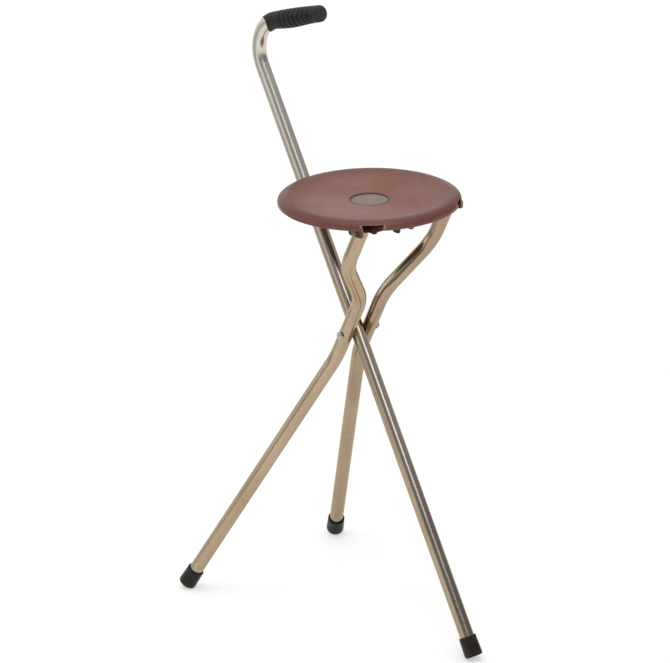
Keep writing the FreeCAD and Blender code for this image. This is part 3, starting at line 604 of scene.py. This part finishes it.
# %% A shape that grows along a path
class Growth(Network):
    """A Geometry Nodes tree with named sizes."""

    def __init__(self, name, **sizes):
        super().__init__(bpy.data.node_groups.new(name, "GeometryNodeTree"))
        face = self.tree.interface
        face.new_socket("Geometry", in_out="INPUT", socket_type="NodeSocketGeometry")
        for label in sizes:
            face.new_socket(label, in_out="INPUT", socket_type="NodeSocketFloat")
        face.new_socket("Geometry", in_out="OUTPUT", socket_type="NodeSocketGeometry")
        self.sizes = sizes
        start = self.tree.nodes.new("NodeGroupInput")
        self.end = self.tree.nodes.new("NodeGroupOutput")
        self.given = {out.name: Value(self, out) for out in start.outputs if out.name}

    def close(self, shape, material):
        """Ends the tree: smooth faces, instances made real, and the finish."""
        smooth = self.node("GeometryNodeSetShadeSmooth", {}, {"Geometry": shape})[0]
        real = self.node("GeometryNodeRealizeInstances", {}, {"Geometry": smooth})[0]
        done = self.node("GeometryNodeSetMaterial", {}, {"Geometry": real, "Material": material})[0]
        self.plug(self.end.inputs[0], done)

    def grow(self, name, base):
        """Runs the tree on a mesh and keeps the result as a plain object."""
        seed = bpy.data.objects.new(name + "_seed", base)
        bpy.context.scene.collection.objects.link(seed)
        modifier = seed.modifiers.new("growth", "NODES")
        modifier.node_group = self.tree
        for item in self.tree.interface.items_tree:
            if item.in_out == "INPUT" and item.name in self.sizes:
                modifier[item.identifier] = self.sizes[item.name]
        depsgraph = bpy.context.evaluated_depsgraph_get()
        mesh = bpy.data.meshes.new_from_object(seed.evaluated_get(depsgraph))
        seed.modifiers.remove(modifier)
        bpy.data.objects.remove(seed)
        piece = bpy.data.objects.new(name, mesh)
        mesh.name = name
        bpy.context.scene.collection.objects.link(piece)
        return piece


# %% [markdown]
# Seams and poles are closed and faces point outwards in every piece that is made here. One helper
# merges the doubled points, turns the faces and reports what it has.

# %% Tidy a mesh
DOUBLED = 0.01 * MM


def tidied(piece):
    """Merges doubled points and turns every face outwards."""
    work = bmesh.new()
    work.from_mesh(piece.data)
    bmesh.ops.remove_doubles(work, verts=work.verts, dist=DOUBLED)
    bmesh.ops.recalc_face_normals(work, faces=work.faces)
    for face in work.faces:
        face.smooth = len(face.verts) < 5
    open_edges = sum(1 for edge in work.edges if len(edge.link_faces) != 2)
    work.to_mesh(piece.data)
    work.free()
    print(piece.name, len(piece.data.polygons), "faces,", open_edges, "open edges")
    return piece


# %% [markdown]
# Along the path, a float curve gives the handle's swelling as a share of its greatest radius. Each
# point looks for the nearest groove by rounding its place, counted in grooves. That number is kept
# just under the count, so that no groove comes after the last. The lip at the mouth and the dome at
# the end are quarter circles.

# %% The grip's radius
SWELLING = (
    (0.0, 0.877), (0.16, 0.882), (0.32, 0.945), (0.55, 0.990), (0.78, 0.965), (0.95, 0.925), (1.0, 0.915),
)
GROOVE_FLOOR = 0.15
UNDER_COUNT = 0.001


def grip_radius(growth, reach):
    """The grip's radius at a distance from the mouth."""
    given = growth.given
    share = growth.node("ShaderNodeFloatCurve", {"bends": SWELLING}, {"Value": reach / given["Length"]})[0]
    counted = (reach - given["First groove"]) / given["Groove pitch"] + 0.5
    nearest = growth.maths("FLOOR", counted.clipped(0.0, given["Groove count"] - UNDER_COUNT))
    offset = abs(reach - given["First groove"] - nearest * given["Groove pitch"])
    groove = 1 - (offset / given["Groove half width"]).eased(GROOVE_FLOOR, 1.0)
    ringed = share * given["Greatest radius"] - groove * given["Groove depth"]
    lip = (reach / given["Lip"]).clipped()
    mouth = (1 - (1 - lip) ** 2.0) ** 0.5
    opened = given["Tube radius"] + (ringed - given["Tube radius"]) * mouth
    past = ((reach - (given["Length"] - given["Dome height"])) / given["Dome height"]).clipped()
    return opened * (1 - past ** 2.0).clipped() ** 0.5


# %% [markdown]
# The sleeve's mouth isn't cut square: it reaches back as a tongue above and below the tube and is cut
# away at both sides. So the sleeve's points slide round the bend, by more the further they lie to the
# side. The underside hangs a little lower behind the mouth, where the fingers close round the handle.

# %% The grip's mouth and underside
SLEEVE_SHARE = 1.1
UNDERSIDE_FADES = (25 * MM, 75 * MM)


def grip_moves(growth, point):
    """Where a point of the grip slides to round the bend, and the offset that lowers the underside."""
    given = growth.given
    spoke = growth.vectors("SUBTRACT", point, bend_centre)

    def part(direction):
        return growth.vectors("DOT_PRODUCT", spoke, direction)

    turn = growth.maths("ARCTAN2", part(stick_up), part(-stick_front))
    sleeve_left = 1 - ((turn - SLEEVE_TURN) / (BEND_ANGLE - SLEEVE_TURN)).clipped()
    sideways = (part((0, 1, 0)) / given["Tube radius"] / SLEEVE_SHARE).clipped(-1.0, 1.0)
    slide = given["Mouth cut"] * sleeve_left * sideways ** 2.0
    slid = growth.node("ShaderNodeVectorRotate", {"rotation_type": "Y_AXIS"}, {
        "Vector": point, "Center": bend_centre, "Angle": slide})[0]
    held = turn.clipped(0.0, BEND_ANGLE)
    inward_front = growth.maths("COSINE", held)
    inward_up = 0.0 - growth.maths("SINE", held)
    depth = BEND_RADIUS + part(stick_front) * inward_front + part(stick_up) * inward_up
    under = (depth / given["Tube radius"]).eased(0.0, SLEEVE_SHARE)
    gone = (part(handle_way) - (bend_end - bend_centre).dot(handle_way)).eased(*UNDERSIDE_FADES)
    lowered = given["Underside swell"] * under * (1 - gone)
    ahead = growth.vectors("MULTIPLY", stick_front, lowered * inward_front)
    down = growth.vectors("MULTIPLY", stick_up, lowered * inward_up)
    return slid, growth.vectors("ADD", ahead, down)


# %% The grip
def ringed_grip():
    """The rubber grip, grown along its path."""
    growth = Growth("grip_growth", **{
        "Tube radius": TUBE_RADIUS,
        "Greatest radius": 11.33 * MM,
        "Length": grip_length,
        "Dome height": DOME_HEIGHT,
        "Lip": LIP_LENGTH,
        "First groove": sleeve_length + 22.0 * MM,
        "Groove pitch": 9.0 * MM,
        "Groove count": 7.0,
        "Groove half width": 2.3 * MM,
        "Groove depth": 0.85 * MM,
        "Mouth cut": 11.5 * MM / BEND_RADIUS,
        "Underside swell": 2.2 * MM,
    })
    path = growth.node("GeometryNodeMeshToCurve", {}, {"Mesh": growth.given["Geometry"]})[0]
    reach = growth.source("GeometryNodeSplineParameter", "Length")
    section = growth.node("GeometryNodeCurvePrimitiveCircle", {"mode": "RADIUS"}, {
        "Resolution": 64, "Radius": 1.0})[0]
    swept = growth.node("GeometryNodeCurveToMesh", {}, {
        "Curve": path, "Profile Curve": section, "Scale": grip_radius(growth, reach), "Fill Caps": True})[0]
    slid, lowered = grip_moves(growth, growth.source("GeometryNodeInputPosition", "Position"))
    shaped = growth.node("GeometryNodeSetPosition", {}, {
        "Geometry": swept, "Position": slid, "Offset": lowered})[0]
    growth.close(shaped, grip_rubber)
    return tidied(growth.grow("ringed_grip", grip_path()))


grip = ringed_grip()
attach(grip, "stick")
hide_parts("hand_grip")

# %% [markdown]
# ## Rubber feet
# A ferrule is a thick cup of black rubber pressed over the tube's end. It is turned from a section:
# a sole with tread rings, a well rounded lower edge worn by the floor, a wall that is a little slimmer
# at the top, a rolled mouth, and the bore that the tube stands in.

# %% A turned piece
AROUND = 96
CORNER_STEPS = 8


def turned_piece(name, section, origin, up):
    """Spins a section of (radius, height) points about an axis. Points on the axis become poles."""
    across = up.orthogonal().normalized()
    beside = up.cross(across)
    points = []
    rings = []
    for radius, height in section:
        centre = origin + up * height
        if radius == 0:
            rings.append([len(points)] * AROUND)
            points.append(centre)
            continue
        rings.append([len(points) + i for i in range(AROUND)])
        for i in range(AROUND):
            turn = 2 * math.pi * i / AROUND
            points.append(centre + (across * math.cos(turn) + beside * math.sin(turn)) * radius)
    faces = []
    for lower, upper in zip(rings, rings[1:]):
        for i in range(AROUND):
            corners = (lower[i], lower[i - 1], upper[i - 1], upper[i])
            faces.append(tuple(dict.fromkeys(corners)))
    mesh = bpy.data.meshes.new(name)
    mesh.from_pydata(points, [], faces)
    piece = bpy.data.objects.new(name, mesh)
    bpy.context.scene.collection.objects.link(piece)
    return piece


def rounded_corner(middle_radius, middle_height, size, start, stop):
    """Points on a round edge, with angles in degrees from the outward direction."""
    turns = [math.radians(start + (stop - start) * i / CORNER_STEPS) for i in range(CORNER_STEPS + 1)]
    return [(middle_radius + size * math.cos(turn), middle_height + size * math.sin(turn)) for turn in turns]


# %% A ferrule's section
SOLE_RADIUS = 11.4 * MM
SOLE_EDGE = 2.6 * MM
TREAD_RINGS = (2.4 * MM, 4.8 * MM, 7.2 * MM)
TREAD_DEPTH = 0.8 * MM
TREAD_MOUTH = 0.75 * MM
TREAD_FLOOR = 0.45 * MM
WALL_SLIMS = (9.0 * MM, 21.0 * MM)
WALL_DRAFT = 0.05 * MM
MOUTH_RADIUS = 11.0 * MM
LIP_EDGE = 0.8 * MM
BORE_BEVEL = (0.35 * MM, 0.4 * MM)
FERRULE_HEIGHT = 26.0 * MM
FERRULE_FLOOR = 6.0 * MM


def ferrule_section():
    """Half of a ferrule's section, from the sole's middle round to the bore's floor."""
    section = [(0, 0)]
    for ring in TREAD_RINGS:
        section += [(ring - TREAD_MOUTH, 0), (ring - TREAD_FLOOR, TREAD_DEPTH)]
        section += [(ring + TREAD_FLOOR, TREAD_DEPTH), (ring + TREAD_MOUTH, 0)]
    section += rounded_corner(SOLE_RADIUS - SOLE_EDGE, SOLE_EDGE, SOLE_EDGE, -90, 0)
    section += [(SOLE_RADIUS, FERRULE_FLOOR)]
    section += [(SOLE_RADIUS - WALL_DRAFT, WALL_SLIMS[0]), (MOUTH_RADIUS, WALL_SLIMS[1])]
    section += rounded_corner(MOUTH_RADIUS - LIP_EDGE, FERRULE_HEIGHT - LIP_EDGE, LIP_EDGE, 0, 90)
    section += [(TUBE_RADIUS + BORE_BEVEL[0], FERRULE_HEIGHT)]
    section += [(TUBE_RADIUS, FERRULE_HEIGHT - BORE_BEVEL[1])]
    return section + [(TUBE_RADIUS, FERRULE_FLOOR), (0, FERRULE_FLOOR)]


for foot, (sole, up) in FEET.items():
    ferrule = turned_piece(foot + "_rubber_foot", ferrule_section(), sole, up)
    ferrule.data.materials.append(foot_rubber)
    tidied(ferrule)
    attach(ferrule, foot)
    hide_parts(foot + "_ferrule")

# %% [markdown]
# ## Floor and backdrop
# The object stands on pale paper under a white surround. The paper alone would come out a little grey,
# so what the camera and the polished metal see of it is topped up to white, more so further out where
# the lamps no longer reach. Its shadow stays. On the left, past about a metre, the glow is left out
# for mirrored rays only, which paints a dark reflection line along the left leg.

# %% Floor
VIEW_TURN = math.radians(-49.10)
FLOOR_RADIUS = 9.0
PAPER = (0.80, 0.80, 0.795)
FLOOR_LIFT = 0.42
FAR_LIFT = 0.16
LAMPS_FADE = (0.6, 2.5)
MIRROR_DARK_PATCH = (0.9, 1.3)
toward_camera = Vector((-math.sin(VIEW_TURN), -math.cos(VIEW_TURN), 0))
to_right = Vector((math.cos(VIEW_TURN), -math.sin(VIEW_TURN), 0))


def pale_floor():
    """A wide pale disc under the feet."""
    bpy.ops.mesh.primitive_circle_add(vertices=96, radius=FLOOR_RADIUS, fill_type="NGON")
    floor = bpy.context.object
    floor.name = "floor"
    finish = Finish("floor_paper", Base_Color=PAPER, Roughness=0.9, Specular_IOR_Level=0.1)
    mirrored = finish.source("ShaderNodeLightPath", "Is Glossy Ray")
    direct = finish.source("ShaderNodeLightPath", "Is Camera Ray")
    seen = (direct + mirrored + finish.source("ShaderNodeLightPath", "Is Transmission Ray")).clipped()
    reach = finish.vectors("LENGTH", finish.place())
    leftward = finish.along((0, 0, 0), -to_right) / reach
    # Painted reflection: mirrored rays see no glow in this patch, for the dark line on the left leg.
    dark_in_mirror = reach.eased(*MIRROR_DARK_PATCH) * leftward.eased(0.80, 0.95) * mirrored
    lift = FLOOR_LIFT + FAR_LIFT * reach.eased(*LAMPS_FADE)
    glow = finish.node("ShaderNodeEmission", {}, {
        "Color": (1, 1, 1), "Strength": seen * lift * (1 - dark_in_mirror)})[0]
    paper = Value(finish, finish.shader.outputs[0])
    both = finish.node("ShaderNodeAddShader", {}, {0: paper, 1: glow})[0]
    finish.plug(finish.tree.nodes["Material Output"].inputs["Surface"], both)
    floor.data.materials.append(finish.material)
    return floor


print("floor", *[round(size, 1) for size in pale_floor().dimensions.xy], "m")

# %% [markdown]
# ## Lamps
# Three soft lamps give the form: the key lamp from the front, one overhead and a weak one from the
# left. Their places are counted from the camera's side. The metal doesn't mirror the key lamp itself,
# because the world below holds a soft box for it that can be shaped more freely.

# %% Lamps
lit = Vector((0, 0, 0.42))


def studio_place(turn, rise, away):
    """A place round the object: degrees to the camera's right, degrees up, and metres away."""
    flat = toward_camera * math.cos(math.radians(turn)) + to_right * math.sin(math.radians(turn))
    return lit + (flat * math.cos(math.radians(rise)) + UPRIGHT * math.sin(math.radians(rise))) * away


def soft_lamp(name, place, width, height, power):
    """A rectangular lamp aimed at the object."""
    lamp = bpy.data.lights.new(name, "AREA")
    lamp.shape = "RECTANGLE"
    lamp.size = width
    lamp.size_y = height
    lamp.energy = power
    holder = bpy.data.objects.new(name, lamp)
    holder.location = place
    holder.rotation_mode = "QUATERNION"
    holder.rotation_quaternion = (lit - place).to_track_quat("-Z", "Y")
    bpy.context.scene.collection.objects.link(holder)
    print(name, "lamp", power, "W")
    return holder


key = soft_lamp("key", studio_place(turn=9, rise=30, away=2.6), width=0.85, height=1.5, power=9.0)
key.visible_glossy = False
soft_lamp("top", studio_place(turn=0, rise=90, away=1.9), width=1.8, height=1.8, power=13.0)
soft_lamp("side", studio_place(turn=-95, rise=25, away=2.3), width=0.8, height=1.6, power=4.0)

# %% [markdown]
# ## What the metal mirrors
# A polished tube shows what stands round it more than it shows its own colour. So the studio is
# painted in the world: white all round, a darker room behind the camera and to its right that is
# cooler near the floor, a bright soft box where the key lamp stands, and dark cards that give the
# tubes their long dark lines. All rays that leave one point of the stick climb equally far along it,
# so that climb is what places room and soft box from the stick's foot to its top. Angles are degrees,
# counted from the camera towards its right. Three numbers are where a band begins, where it ends and
# how wide its soft edges are. Two are where something begins to fade and where the fade ends.

# %% What stands round the object
ROOM_TURN = (-26, 158, 12)
ROOM_FADES_UP = (34, 88)
ROOM_BEGINS_UP = (-6, 2)
ROOM_DARKNESS = 0.66
PALER_AT_MIDDLE = 0.38
STICK_MIDDLE = (0.015, 0.035, 0.030)
PALER_AT_TOP = 0.14
STICK_TOP = (0.05, 0.08)
THIN_CARD_TURN = (-34, -12, 6)
THIN_CARD_DARKNESS = 0.25
WIDE_CARD_TURN = (60, 112, 9)
WIDE_CARD_ENDS = (-0.03, 0.0)
WIDE_CARD_DARKNESS = 0.28
SOFT_BOX_TURN = (18, 36, 8)
SOFT_BOX_CLIMB = (0.020, 0.045, 0.055)
SOFT_BOX_LIGHT = 3.3
SOFT_BOX_DIMS = 1.8
SOFT_BOX_DIMMED = (0.05, 0.09)


def dark_room(turn, rise):
    """1 where the darker room is."""
    return turn.within(*ROOM_TURN) * (1 - rise.eased(*ROOM_FADES_UP)) * rise.eased(*ROOM_BEGINS_UP)


def mirrored_studio(turn, climb, room):
    """How bright the studio is in a direction: white, less room and cards, and with the soft box."""
    paler = PALER_AT_MIDDLE * climb.within(*STICK_MIDDLE) + PALER_AT_TOP * climb.eased(*STICK_TOP)
    thin_card = turn.within(*THIN_CARD_TURN) * THIN_CARD_DARKNESS
    wide_card = turn.within(*WIDE_CARD_TURN) * WIDE_CARD_DARKNESS * (1 - climb.eased(*WIDE_CARD_ENDS))
    light = SOFT_BOX_LIGHT - SOFT_BOX_DIMS * climb.eased(*SOFT_BOX_DIMMED)
    soft_box = turn.within(*SOFT_BOX_TURN) * climb.within(*SOFT_BOX_CLIMB) * light
    return (1 - room * (ROOM_DARKNESS - paler)) * (1 - thin_card) * (1 - wide_card) + soft_box


# %% [markdown]
# In a world, Generated coordinates are the direction that a ray goes in. Only rays that come from a
# polished surface or through glass meet the studio. The camera sees plain white, and dull surfaces are
# lit by an even light that is weak enough to leave the form to the lamps.

# %% World
DIFFUSE_LEVEL = 0.55
COOL = (0.86, 1.00, 1.32)
COOL_CLIMB = (-0.06, 0.03, 0.03)
COOL_ENDS_UP = (30, 36)


def studio_world():
    """White all round, and for mirrored rays also the room, the soft box and the dark cards."""
    world = bpy.data.worlds.new("studio")
    world.use_nodes = True
    bpy.context.scene.world = world
    surround = Network(world.node_tree)
    way = surround.source("ShaderNodeTexCoord", "Generated")

    def toward(direction):
        return surround.vectors("DOT_PRODUCT", way, direction)

    turn = surround.maths("ARCTAN2", toward(to_right), toward(toward_camera)) * math.degrees(1)
    rise = surround.maths("ARCSINE", toward(UPRIGHT)) * math.degrees(1)
    climb = toward(stick_up)
    room = dark_room(turn, rise)
    direct = surround.source("ShaderNodeLightPath", "Is Camera Ray")
    glossy = (surround.source("ShaderNodeLightPath", "Is Glossy Ray")
              + surround.source("ShaderNodeLightPath", "Is Transmission Ray")).clipped()
    level = glossy * mirrored_studio(turn, climb, room) + (1 - glossy) * DIFFUSE_LEVEL
    cooled = room * glossy * climb.within(*COOL_CLIMB) * (1 - rise.eased(*COOL_ENDS_UP))
    light = surround.node("ShaderNodeBackground", {}, {
        "Color": surround.mix(cooled, (1, 1, 1), COOL), "Strength": direct + (1 - direct) * level})[0]
    surround.plug(surround.tree.nodes["World Output"].inputs["Surface"], light)
    return world


print("world", studio_world().name)

# %% [markdown]
# ## Camera
# The picture was taken from far off with a long lens, looking down a little, and the camera was held
# a degree out of level. Lens, distance and angles are set here from the picture's outline.

# %% Camera
CAMERA_LENS = 182.92
CAMERA_FILM = 36
CAMERA_AWAY = 3.9581
CAMERA_HEIGHT = 1.8769
CAMERA_DOWN = math.radians(20.751)
CAMERA_ASIDE = math.radians(-0.405)
CAMERA_ROLL = math.radians(-1.09)


def photo_camera():
    """The camera at the photograph's angle."""
    forward = -toward_camera * math.cos(CAMERA_ASIDE) + to_right * math.sin(CAMERA_ASIDE)
    right = to_right * math.cos(CAMERA_ASIDE) + toward_camera * math.sin(CAMERA_ASIDE)
    look = forward * math.cos(CAMERA_DOWN) - UPRIGHT * math.sin(CAMERA_DOWN)
    up = forward * math.sin(CAMERA_DOWN) + UPRIGHT * math.cos(CAMERA_DOWN)
    side = right * math.cos(CAMERA_ROLL) + up * math.sin(CAMERA_ROLL)
    top = up * math.cos(CAMERA_ROLL) - right * math.sin(CAMERA_ROLL)
    turned = Matrix((side, top, -look)).transposed()
    place = Vector((pivot.x, 0, CAMERA_HEIGHT)) + toward_camera * CAMERA_AWAY
    lens = bpy.data.cameras.new("camera")
    lens.lens = CAMERA_LENS
    lens.sensor_width = CAMERA_FILM
    camera = bpy.data.objects.new("camera", lens)
    camera.matrix_world = Matrix.Translation(place) @ turned.to_4x4()
    bpy.context.scene.collection.objects.link(camera)
    bpy.context.scene.camera = camera
    return camera


camera = photo_camera()
bpy.context.scene.view_settings.view_transform = "Standard"
print("camera at", [round(v, 3) for v in camera.location])
